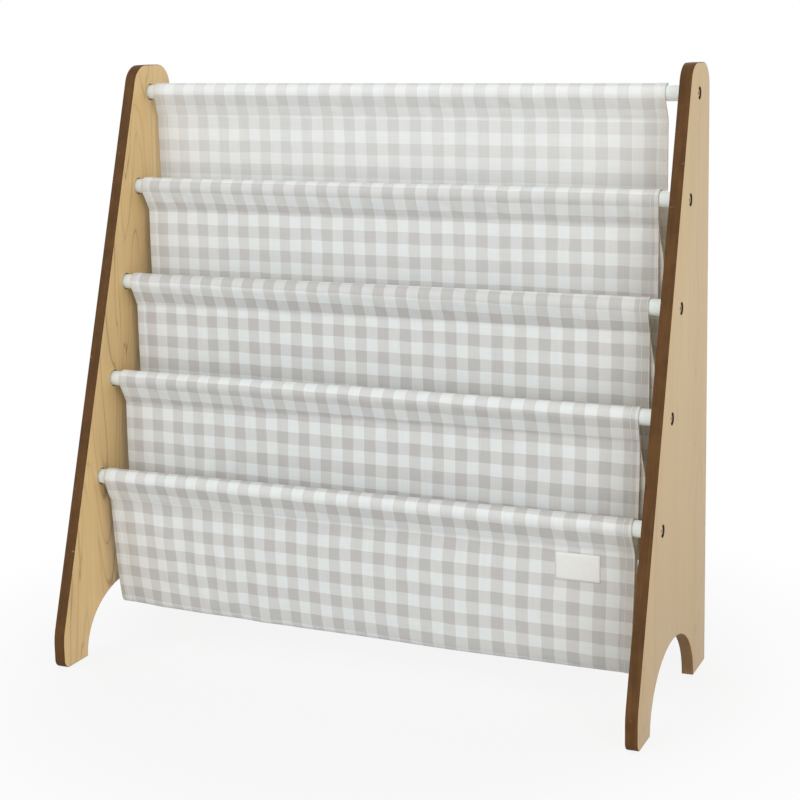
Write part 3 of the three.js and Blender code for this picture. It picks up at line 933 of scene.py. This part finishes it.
def pocket_line(tier):
    """The middle line of a pocket in depth and height, from the seam below its back rod
    down, round the fold, and up to the seam below its front rod."""
    back_y, back_z = rod_centre(tier)
    front_y, front_z = rod_centre(tier + 1)
    back_y += SEAM_BACK + FRONT_LAYER
    front_y += SEAM_BACK
    fold_top = front_z - POCKET_DROP + FOLD_RADIUS
    back_z -= SEAM_DROP
    front_z -= SEAM_DROP
    wall = front_y + WALL_LAYER
    # The back wall hangs straight first, and then swings out to the fold
    swing_from = back_z - (POCKET_DROP - SEAM_DROP)
    heights = np.linspace(back_z, fold_top, 60)
    share = ease((swing_from - heights) / (swing_from - fold_top))
    down = np.stack([back_y + (wall + 2 * FOLD_RADIUS - back_y) * share, heights], 1)
    turn = np.linspace(0, math.pi, 20)[1:]
    fold = np.stack([wall + FOLD_RADIUS + FOLD_RADIUS * np.cos(turn),
                     fold_top - FOLD_RADIUS * np.sin(turn)], 1)
    heights = np.linspace(fold_top, front_z, 40)[1:]
    # The lowest pocket's front runs on over its rod, the others end between two layers
    layer = FRONT_LAYER if tier == STRIPS[-1] else MIDDLE_LAYER
    shift = layer + (WALL_LAYER - layer) * ease((front_z - heights) / WALL_LEAVES)
    up = np.stack([front_y + shift, heights], 1)
    return np.concatenate([down, fold, up])


def pocket_start(tier):
    """The pocket before it hangs: points on a grid of rows down the cloth and columns
    along the rod, with soft uneven swells."""
    line = pocket_line(tier)
    rows = count_of(run_along(line)[-1], GRID)
    line = spread(line, rows)
    run = run_along(line)
    top, bottom = cloth_ends(tier, True), cloth_ends(tier + 1, True)
    columns = count_of(top[1] - top[0], GRID)
    across = np.linspace(-1, 1, columns)
    part = run / run[-1]
    # How far down the pocket each row is: 0 at both seams, 1 at the fold
    fall = np.minimum(run, run[-1] - run)
    fall = fall / fall.max()
    if tier == STRIPS[-1]:
        # Both sides draw in towards the fold, the left one most at its corner. The fold
        # hangs lower in its middle and at its right-hand end.
        corner = bell(run - run[int(np.argmax(fall))], CORNER_REACH)
        draw = LEFT_DRAW * ease(fall) + CORNER_DRAW * corner
        flare = -RIGHT_DRAW * ease(fall * 1.5)
        sag = (FOLD_SAG - SAG_TILT * across) * (1 - across ** 4)
        lift = -FOLD_TILT * across - sag
    else:
        # The right side flares out where the pocket in front hides it
        draw = UPPER_DRAW * ease(fall)
        flare = UPPER_FLARE * (ease((run - FLARE_FROM) / FLARE_GROWS)
                               * ease((run[-1] - run) / FLARE_FADES))
        lift = UPPER_RISE - UPPER_TILT * across
    left = top[0] + (bottom[0] - top[0]) * part + draw
    right = top[1] + (bottom[1] - top[1]) * part + flare
    x = left[:, None] + (right - left)[:, None] * (across[None, :] + 1) / 2
    # Wide swells all over, and tighter ones at the left, where the cloth has more slack
    wide = WIDE_SWELL * soft_noise(x, run[:, None], SEEDS["wide"] + tier, WIDE_SIZE)
    tight = (LEFT_SWELLS[tier - 1] * bell(across - LEFT_PLACE, LEFT_REACH)[None, :]
             * soft_noise(x, run[:, None], SEEDS["left"] + tier, LEFT_SIZE))
    swell = wide * ease(fall * 3)[:, None] + tight * ease(fall * 4)[:, None]
    rise = lift[None, :] * ease(fall)[:, None]
    return np.stack([x, line[:, 0:1] + swell, line[:, 1:2] + rise], 2)


def hang(grids):
    """Lets the pockets hang from their seams under gravity, and gives the grids as they
    settle."""
    scene = bpy.context.scene
    cloths = []
    for index, grid in enumerate(grids):
        rows, columns, _ = grid.shape
        name = f"hanging_{index}"
        mesh = new_mesh(name, grid.reshape(-1, 3), grid_faces(rows, columns))
        cloth = link_object(name, mesh)
        edge = [*range(2 * columns), *range((rows - 2) * columns, rows * columns)]
        cloth.vertex_groups.new(name="sewn").add(edge, 1.0, "REPLACE")
        soft = cloth.modifiers.new("hang", "CLOTH")
        for setting, value in CLOTH_WEAR.items():
            setattr(soft.settings, setting, value)
        soft.collision_settings.use_collision = False
        soft.collision_settings.use_self_collision = False
        soft.point_cache.frame_start = 1
        soft.point_cache.frame_end = HANG_FRAMES
        cloths.append(cloth)
    for step in range(1, HANG_FRAMES + 1):
        scene.frame_set(step)
    graph = bpy.context.evaluated_depsgraph_get()
    settled = []
    for cloth, grid in zip(cloths, grids):
        shape = cloth.evaluated_get(graph).to_mesh()
        points = np.empty(len(shape.vertices) * 3)
        shape.vertices.foreach_get("co", points)
        move = points.reshape(grid.shape) - grid
        far = np.linalg.norm(move, axis=2, keepdims=True)
        settled.append(grid + move * np.minimum(1.0, MOST_MOVE / np.maximum(far, 1e-9)))
    for cloth in cloths:
        mesh = cloth.data
        bpy.data.objects.remove(cloth)
        bpy.data.meshes.remove(mesh)
    scene.frame_set(1)
    return settled


def resample(grid, rows_at, columns_at):
    """Reads a grid at fractional rows and columns along smooth curves."""
    def along(values, at):
        at = np.clip(at, 0, len(values) - 1)
        low = np.minimum(at.astype(int), len(values) - 2)
        part = (at - low)[:, None, None]
        p1, p2 = values[low], values[low + 1]
        # Beyond its ends a curve goes straight on
        before, after = (low > 0)[:, None, None], (low < len(values) - 2)[:, None, None]
        p0 = np.where(before, values[np.maximum(low - 1, 0)], 2 * p1 - p2)
        p3 = np.where(after, values[np.minimum(low + 2, len(values) - 1)], 2 * p2 - p1)
        return p1 + 0.5 * part * (p2 - p0 + part * (2 * p0 - 5 * p1 + 4 * p2 - p3
                                  + part * (3 * (p1 - p2) + p3 - p0)))
    return along(along(grid, rows_at).transpose(1, 0, 2), columns_at).transpose(1, 0, 2)


def column_places(low, high, hem):
    """Where the columns of the finished cloth lie along its width, closer at the hems."""
    edge = np.array([0, 0.5 * MM, 3 * MM, 6 * MM, hem - 2.2 * MM, hem - 1.6 * MM,
                     hem - STITCH_IN, hem - 0.6 * MM, hem - 0.1 * MM, hem + 0.25 * MM])
    start, end = low + hem + 3 * MM, high - hem - 3 * MM
    inner = np.linspace(start, end, count_of(end - start, FINE))
    return np.concatenate([low + edge, inner, (high - edge)[::-1]])


def keep_apart(behind, before, first):
    """Pushes the cloth behind a hanging wall back until it clears that wall. Rows of both
    run down the cloth, and first is the row of the wall's seam."""
    for column in range(behind.shape[1]):
        facing = round(column / (behind.shape[1] - 1) * (before.shape[1] - 1))
        wall = before[first:, facing]
        wall = wall[:int(np.argmin(wall[:, 2])) + 1][::-1]
        y, z = wall[:, 1], wall[:, 2]
        here = behind[:, column]
        inside = (here[:, 2] < z[-1] - SEAM_ROOM) & (here[:, 2] > z[0])
        least = np.interp(here[:, 2], z, y) + WALLS_APART
        here[:, 1] = np.where(inside, np.maximum(here[:, 1], least), here[:, 1])


def sleeve_grid(tier, share):
    """The sleeve of a tier from its seam in front, up and over the rod and down to its
    tail behind, as points and the distance of each row from the seam."""
    line = sleeve_line(tier)[::-1]
    line = spread(line, count_of(run_along(line)[-1], FINE_ROUND_ROD))
    run = run_along(line)
    below = 1 - ease(run / ENDS_BLEND)
    rod, wall = cloth_ends(tier, False), cloth_ends(tier, True)
    # Behind the rod the cloth is drawn in a little at both ends
    behind = BEHIND_DRAW * ease((run - BEHIND_FROM) / BEHIND_GROWS)
    left = rod[0] + (wall[0] - rod[0]) * below + behind
    right = rod[1] + (wall[1] - rod[1]) * below - behind
    x = left[:, None] + (right - left)[:, None] * share[None, :]
    # Slack of the sleeve below the rod: shallow slanting puckers above the seam
    out = line - rod_centre(tier)
    out /= np.linalg.norm(out, axis=1, keepdims=True)
    zone = ease(run / PUCKER_STARTS) * ease((PUCKER_ENDS - run) / PUCKER_FADES)
    pucker = PUCKER * soft_noise(x + run[:, None] * 0.9, run[:, None] * 0.3,
                                 SEEDS["pucker"] + tier, PUCKER_SIZE)
    pucker = (pucker + PUCKER_STAND) * zone[:, None]
    return np.stack([x, line[:, 0:1] + out[:, 0:1] * pucker,
                     line[:, 1:2] + out[:, 1:2] * pucker], 2), run


def sling_grid(tier, pocket, cloth):
    """The middle surface of one strip of cloth: the sleeve round its rod and the pocket
    below it. The lowest strip goes on over the last rod. Gives points, flat place across,
    flat place down, and the rows of the seams."""
    low, high = cloth_ends(tier, False)
    places = column_places(low, high, cloth.hem)
    share = (places - low) / (high - low)
    sleeve, run = sleeve_grid(tier, share)
    rows, columns, _ = pocket.shape
    length_down = run_along(spread(pocket_line(tier), rows))
    rows_at = np.linspace(0, rows - 1, count_of(length_down[-1], FINE))
    body = resample(pocket, rows_at, share * (columns - 1))
    body_down = np.interp(rows_at, np.arange(rows), length_down)
    # Gathers just below the seam, fading within 25 mm
    gather = GATHER * soft_noise(places[None, :], body_down[:, None] * 0.25,
                                 SEEDS["gather"] + tier, GATHER_SIZE)
    weight = bell(body_down, GATHER_REACH) * ease(body_down / GATHER_STARTS)
    body[..., 1] += gather * weight[:, None]
    seams = [len(run) - 1]
    if tier == STRIPS[-1]:
        onward, after = sleeve_grid(tier + 1, share)
        onward, after = onward[1:], after[1:]
        seams.append(len(run) + len(body) - 2)
    else:
        # The top of the front wall is tucked between the two layers of the next sleeve
        after = np.linspace(*TUCK, TUCK_ROWS)
        onward = np.repeat(body[-1:], TUCK_ROWS, axis=0)
        onward[..., 2] += after[:, None]
    points = np.concatenate([sleeve[::-1], body[1:], onward])
    down = np.concatenate([-run[::-1], body_down[1:], body_down[-1] + after])
    return points, places, down, seams


def stripe_place(tier, places, down, seams, period):
    """The gingham's place on the flat cut, so that its stripes fall where they do on this
    tier. The lowest strip's two visible parts are matched in the hidden part between."""
    at = tier - 1
    u = np.repeat(places[None, :] - STRIPE_ACROSS[at] + period / 2, len(down), axis=0)
    start = STRIPE_DOWN[at] + STRIPE_FALL[at] * places[None, :]
    v = down[:, None] - start + period / 2
    if tier == STRIPS[-1]:
        last = down[seams[1]] - STRIPE_DOWN[tier]
        last -= round((last - STRIPE_DOWN[at]) / period) * period
        onward = last - STRIPE_FALL[tier] * places[None, :]
        part = ease((down - MATCH[0]) / MATCH[1])[:, None]
        v = down[:, None] - start * (1 - part) - onward * part + period / 2
        # The drawn-in left side of the front wall pulls its stripes a little out of line,
        # and towards the rod they run straighter again
        bow = np.polyval(WALL_BOW, places / BOW_SPAN)[None, :]
        straight = np.polyval(ROD_BOW, places / BOW_SPAN)[None, :]
        above = (down - down[seams[1]])[:, None]
        u -= (STRIPE_ACROSS[tier] - STRIPE_ACROSS[at] + bow) * part
        u += straight * ease((above - BOW_EASES[0]) / BOW_EASES[1])
        v -= LAST_SHIFT[0] * ease(above / LAST_SHIFT[1])
    if tier == 1:
        # On this rod the next dyed stripe starts right at the top
        v += TOP_SHIFT[0] * ease((-down - TOP_SHIFT[1]) / TOP_SHIFT[2])[:, None]
    return u, v


def cloth_mesh(name, points, places, down, seams, cloth, tier):
    """A cloth of real thickness with doubled side hems and a sunk line at its stitches,
    carrying its flat cut as UV coordinates in metres."""
    inset = np.minimum(places - places[0], places[-1] - places)
    hem = 1 - ease((inset - cloth.hem) / HEM_STEP)
    groove = bell(inset - cloth.hem + STITCH_IN, STITCH_LINE)
    share = 1 + HEM_MORE_SHARE * hem - SUNK_SHARE * groove
    thickness = cloth.thickness * share[None, :]
    seam = sum(bell(down - down[row], SEAM_LINE) for row in seams)[:, None]
    half = thickness / 2 * (1 - SUNK_SHARE * seam)
    mesh, front, back, normal = sheet_mesh(name, points, half[..., None])
    flat = np.stack(stripe_place(tier, places, down, seams, 2 * cloth.check), 2)
    flat = np.concatenate([flat.reshape(-1, 2)] * 2)
    layer = mesh.uv_layers.new(name="cut")
    index = np.empty(len(mesh.loops), dtype=int)
    mesh.loops.foreach_get("vertex_index", index)
    layer.data.foreach_set("uv", flat[index].ravel())
    mesh.validate()
    return mesh, front, back, normal


def unit(vectors):
    return vectors / np.maximum(np.linalg.norm(vectors, axis=1, keepdims=True), 1e-9)


def stitch_mesh(name, paths, cloth):
    """Stitches as short plump capsules along paths of (points, outward) rows."""
    share, fat = (np.array(column)[:, None, None] for column in zip(*STITCH_RINGS))
    turn = (np.arange(STITCH_SIDES) * 2 * math.pi / STITCH_SIDES)[None, :, None]
    capsule = ring_faces(len(STITCH_RINGS), STITCH_SIDES, caps=True)
    verts, faces = [], []
    for points, outward in paths:
        run = run_along(points)
        count = int(run[-1] / cloth.stitch_step)
        at = (np.arange(count) + 0.5) * run[-1] / max(count, 1)
        start, centre, stop = (read_along(run, points, at + cloth.stitch * half)
                               for half in (-0.5, 0, 0.5))
        along = unit(stop - start)
        side = unit(np.cross(along, read_along(run, outward, at)))
        out = np.cross(side, along)
        along, side, out, centre = (
            values[:, None, None, :] for values in (along, side, out, centre))
        # Each stitch stands proud in its middle and sinks into the cloth at its ends
        middle = centre + along * share * cloth.stitch + out * 0.12 * MM * (fat - 0.6)
        capsules = middle + STITCH_RADIUS * fat * (
            side * np.cos(turn) + out * 0.8 * np.sin(turn))
        for base in range(len(verts), len(verts) + capsules[..., 0].size,
                          len(STITCH_RINGS) * STITCH_SIDES):
            faces += [tuple(base + index for index in face) for face in capsule]
        verts += capsules.reshape(-1, 3).tolist()
    return new_mesh(name, verts, faces, True)


def nearest_row(points, rows, height):
    """The row of a strip, among some of its rows, that lies nearest a height."""
    return rows[int(np.argmin(np.abs(points[rows, 0, 2] - height)))]


def seam_paths(tier, points, places, seams, cloth, front, back, normal):
    """Where a strip is stitched: at its seams, at its tails and along its side hems."""
    tail = nearest_row(points, np.arange(seams[0] // 2), rod_centre(tier)[1] - SEAM_DROP)
    paths = [(front[row], normal[row]) for row in (seams[0], tail)]
    if tier == STRIPS[-1]:
        rows = np.arange((seams[1] + len(points)) // 2, len(points))
        tail = nearest_row(points, rows, rod_centre(tier + 1)[1] - SEAM_DROP)
        paths += [(back[row], -normal[row]) for row in (seams[1], tail)]
    line = int(np.argmin(np.abs(places - places[0] - cloth.hem + STITCH_IN)))
    for column in (line, len(places) - 1 - line):
        paths.append((front[:, column], normal[:, column]))
        paths.append((back[:, column], -normal[:, column]))
    return paths


class BOOKSHELF_OT_sling(bpy.types.Operator):
    """Sew and hang the cloth: a sleeve on every rod and a pocket between each two rods"""

    bl_idname = "bookshelf.sling"
    bl_label = "Cloth sling"

    def execute(self, context):
        cloth = context.scene.bookshelf_cloth
        thread = cotton_thread("cotton sewing thread", cloth.thread)
        pockets = [pocket_start(tier) for tier in STRIPS]
        pockets = hang(pockets)
        slings = [sling_grid(tier, pocket, cloth)
                  for tier, pocket in zip(STRIPS, pockets)]
        for behind, before in zip(slings, slings[1:]):
            keep_apart(behind[0][behind[3][0]:], before[0], before[3][0])
        for tier, weight, (points, places, down, seams) in zip(STRIPS, LIT_THROUGH_PALING, slings):
            # Each strip's gingham carries its own share of painted light through the
            # cloth
            cotton = gingham_cotton(f"gingham cotton, plain woven, strip {tier}",
                                    cloth, weight)
            name = f"gingham_sling_{tier}"
            mesh, front, back, normal = cloth_mesh(
                name, points, places, down, seams, cloth, tier)
            nodes = [f"sleeve_{tier}", f"pocket_{tier}"]
            if tier == STRIPS[-1]:
                nodes.append(f"sleeve_{tier + 1}")
            piece = link_piece(name, mesh, "gingham_cotton", (cotton,), *nodes)
            paths = seam_paths(tier, points, places, seams, cloth, front, back, normal)
            name = f"seam_thread_{tier}"
            sewn = link_piece(name, stitch_mesh(name, paths, cloth), "gingham_cotton",
                              (thread,))
        context.scene["bookshelf_front"] = front_wall(slings[-1])
        return {"FINISHED"}


def front_wall(sling):
    """The front wall of the lowest pocket, from its fold up, which the label lies on."""
    points, _, _, seams = sling
    low = int(np.argmin(points[seams[0]:, 0, 2])) + seams[0]
    wall = points[low:seams[1] + 1]
    rows, columns, _ = wall.shape
    return {"rows": rows, "columns": columns, "points": wall.ravel().tolist()}


# Label

RIBBON_HALF = 0.22 * MM         # half the ribbon's thickness
RIBBON_STAND = 0.3 * MM         # its middle off the cloth, at its sewn edge
RIBBON_FULL = 0.25 * MM         # and how much more in its middle
RIBBON_RISE = 6 * MM            # from its edge to where it stands that far off


class BOOKSHELF_OT_label(bpy.types.Operator):
    """Sew the bare ribbon label to the front of the lowest pocket"""

    bl_idname = "bookshelf.label"
    bl_label = "Label"

    def execute(self, context):
        cloth = context.scene.bookshelf_cloth
        held = context.scene["bookshelf_front"]
        wall = np.array(held["points"]).reshape(held["rows"], held["columns"], 3)
        wall = wall[np.argsort(wall[:, 0, 2])]
        low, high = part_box("sewn_label")
        xs = np.linspace(low.x, high.x, 19)
        zs = np.linspace(high.z, low.z, 11)
        grid = np.zeros((len(zs), len(xs), 3))
        for row, z in enumerate(zs):
            # The wall's own line at this height, as places along X and their depths
            line_x, line_y = ([np.interp(z, column[:, 2], column[:, axis])
                               for column in wall.transpose(1, 0, 2)] for axis in (0, 1))
            depths = np.interp(xs, line_x, line_y)
            grid[row] = np.stack([xs, depths, np.full(len(xs), z)], 1)
        edge = np.minimum(np.minimum(xs - xs[0], xs[-1] - xs)[None, :],
                          np.minimum(zs[0] - zs, zs - zs[-1])[:, None])
        grid[..., 1] -= (cloth.thickness / 2 + RIBBON_STAND
                         + RIBBON_FULL * ease(edge / RIBBON_RISE))
        mesh, front, _, normal = sheet_mesh("ribbon_label", grid, RIBBON_HALF)
        ribbon = woven_ribbon("taffeta ribbon, woven", cloth.ribbon)
        piece = link_piece("ribbon_label", mesh, "label_ribbon", (ribbon,), "sewn_label")
        paths = [(front[1:-1, side], normal[1:-1, side]) for side in (1, -2)]
        thread = cotton_thread("cotton label thread", cloth.ribbon)
        sewn = link_piece("label_thread", stitch_mesh("label_thread", paths, cloth),
                          "label_ribbon", (thread,))
        del context.scene["bookshelf_front"]
        return {"FINISHED"}


# Stage

# The camera, in pixels of the frame, degrees and metres
FRAME_PX = 800
FOCAL_PX = 1717.3
AXIS_PX = (460, 300)            # where the camera's axis meets the picture
PITCH, YAW, ROLL = 9.145, 21.866, -0.794
CAMERA_PLACE = (0.7096, -1.5331, 0.6496)
SENSOR_MM = 36
LAMP_TARGET = (0, 0, 0.3)
FLOOR_RINGS = (40, 4, 1.5, 0.6, 0)      # radii, run inwards so that the disc faces up
FLOOR_SIDES = 64


def seen_white(tree):
    """1 for rays from the camera, a mirror or glass, and 0 for rays that carry light."""
    path = add_node(tree, "LightPath")
    seen = path.outputs["Is Camera Ray"]
    for ray in ("Is Glossy Ray", "Is Transmission Ray"):
        seen = add_node(tree, "Math", {0: seen, 1: path.outputs[ray]},
                        operation="MAXIMUM")
    return seen


def floor_paint(name, base):
    """Matt floor paint, rolled on. Away from the shelf it goes over into plain white for
    the camera, and close by it keeps the shelf's shadow."""
    material, tree = new_material(name)
    place = add_node(tree, "TexCoord").outputs["Object"]
    mottle = add_node(tree, "TexNoise", {"Vector": place, "Scale": 6.0})
    tone = add_node(tree, "Mix", {"Factor": mottle, 6: rgba(base), 7: rgba(base, 0.99)},
                    data_type="RGBA")
    paint = add_node(tree, "BsdfPrincipled", {"Base Color": tone, "Roughness": 0.9})
    reach = add_node(tree, "VectorMath", {0: place}, operation="LENGTH")
    away = add_node(tree, "MapRange", {
        "Value": reach, "From Min": 0.25, "From Max": 0.62, "To Min": 0.84},
        interpolation_type="SMOOTHSTEP")
    share = add_node(tree, "Math", {0: away, 1: seen_white(tree)}, operation="MULTIPLY")
    white = add_node(tree, "Emission", {"Color": (1, 1, 1, 1), "Strength": 1.0})
    mixed = add_node(tree, "MixShader", {0: share, 1: paint, 2: white})
    add_node(tree, "OutputMaterial", {"Surface": mixed})
    return material


def white_world(sky):
    """Even surroundings: plain white where they are seen, and weaker as light."""
    world = bpy.data.worlds.new("white studio")
    world.use_nodes = True
    tree = world.node_tree
    tree.nodes.clear()
    light, shown = (add_node(tree, "Background", {
        "Color": (1, 1, 1, 1), "Strength": strength}) for strength in (sky, 1.0))
    mixed = add_node(tree, "MixShader", {0: seen_white(tree), 1: light, 2: shown})
    add_node(tree, "OutputWorld", {"Surface": mixed})
    return world


def add_lamp(name, watts, size, place):
    data = bpy.data.lights.new(name, "AREA")
    data.shape = "RECTANGLE"
    data.size, data.size_y = size
    data.energy = watts
    lamp = link_object(name, data)
    lamp.location = place
    aim = Vector(LAMP_TARGET) - Vector(place)
    lamp.rotation_euler = aim.to_track_quat("-Z", "Y").to_euler()


def add_camera():
    """The camera at the photograph's angle: 22 degrees round to the right, and above."""
    pitch, yaw, roll = (math.radians(angle) for angle in (PITCH, YAW, ROLL))
    forward = Vector((-math.sin(yaw), math.cos(yaw), 0))
    right = Vector((math.cos(yaw), math.sin(yaw), 0))
    up = Vector((0, 0, 1))
    ahead = forward * math.cos(pitch) - up * math.sin(pitch)
    over = up * math.cos(pitch) + forward * math.sin(pitch)
    across = right * math.cos(roll) + over * math.sin(roll)
    upward = over * math.cos(roll) - right * math.sin(roll)
    data = bpy.data.cameras.new("camera")
    data.sensor_width = SENSOR_MM
    data.lens = FOCAL_PX / FRAME_PX * SENSOR_MM
    data.shift_x = (FRAME_PX / 2 - AXIS_PX[0]) / FRAME_PX
    data.shift_y = (AXIS_PX[1] - FRAME_PX / 2) / FRAME_PX
    camera = link_object("camera", data)
    turn = Matrix((across, upward, -ahead)).transposed()
    camera.matrix_world = Matrix.Translation(CAMERA_PLACE) @ turn.to_4x4()
    return camera


class BOOKSHELF_OT_stage(bpy.types.Operator):
    """Set up the floor, the soft light and the camera"""

    bl_idname = "bookshelf.stage"
    bl_label = "Stage"

    def execute(self, context):
        scene = context.scene
        stage = scene.bookshelf_stage
        scene.view_settings.view_transform = "Standard"
        points, faces = lathe([(radius, 0) for radius in FLOOR_RINGS], FLOOR_SIDES)
        mesh = new_mesh("floor", points[:, [1, 2, 0]], faces)
        mesh.materials.append(floor_paint("matt floor paint, rolled", stage.floor))
        link_object("floor", mesh)
        scene.world = white_world(stage.sky)
        add_lamp("key_softbox", stage.key, (2.4, 1.8), (-1.3, -2.7, 1.9))
        add_lamp("fill_softbox", stage.fill, (1.8, 1.8), (2.3, -2.1, 1.2))
        add_lamp("back_softbox", stage.back, (2.4, 1.8), (-0.4, 3.0, 1.8))
        scene.camera = add_camera()
        return {"FINISHED"}


# Sidebar and running

class BOOKSHELF_PT_sidebar(bpy.types.Panel):
    bl_idname = "BOOKSHELF_PT_sidebar"
    bl_label = "Sling bookshelf"
    bl_space_type = "VIEW_3D"
    bl_region_type = "UI"
    bl_category = "Bookshelf"

    def draw(self, context):
        for operator in OPERATORS:
            self.layout.operator(operator.bl_idname)
        for name in SETTINGS:
            group = getattr(context.scene, name)
            box = self.layout.box()
            for key in group.__annotations__:
                box.prop(group, key)


SETTINGS = {
    "bookshelf_panel": PanelSettings,
    "bookshelf_rod": RodSettings,
    "bookshelf_cloth": ClothSettings,
    "bookshelf_stage": StageSettings,
}
OPERATORS = (BOOKSHELF_OT_stage, BOOKSHELF_OT_panels, BOOKSHELF_OT_rods,
             BOOKSHELF_OT_fixings, BOOKSHELF_OT_sling, BOOKSHELF_OT_label)
CLASSES = (*SETTINGS.values(), *OPERATORS, BOOKSHELF_PT_sidebar)


def register():
    for cls in CLASSES:
        bpy.utils.register_class(cls)
    for name, group in SETTINGS.items():
        setattr(bpy.types.Scene, name, PointerProperty(type=group))


def unregister():
    for name in SETTINGS:
        delattr(bpy.types.Scene, name)
    for cls in reversed(CLASSES):
        bpy.utils.unregister_class(cls)


def main():
    register()
    bpy.ops.bookshelf.stage()
    bpy.ops.bookshelf.panels()
    bpy.ops.bookshelf.rods()
    bpy.ops.bookshelf.fixings()
    bpy.ops.bookshelf.sling()
    bpy.ops.bookshelf.label()


if __name__ == "__main__":
    main()
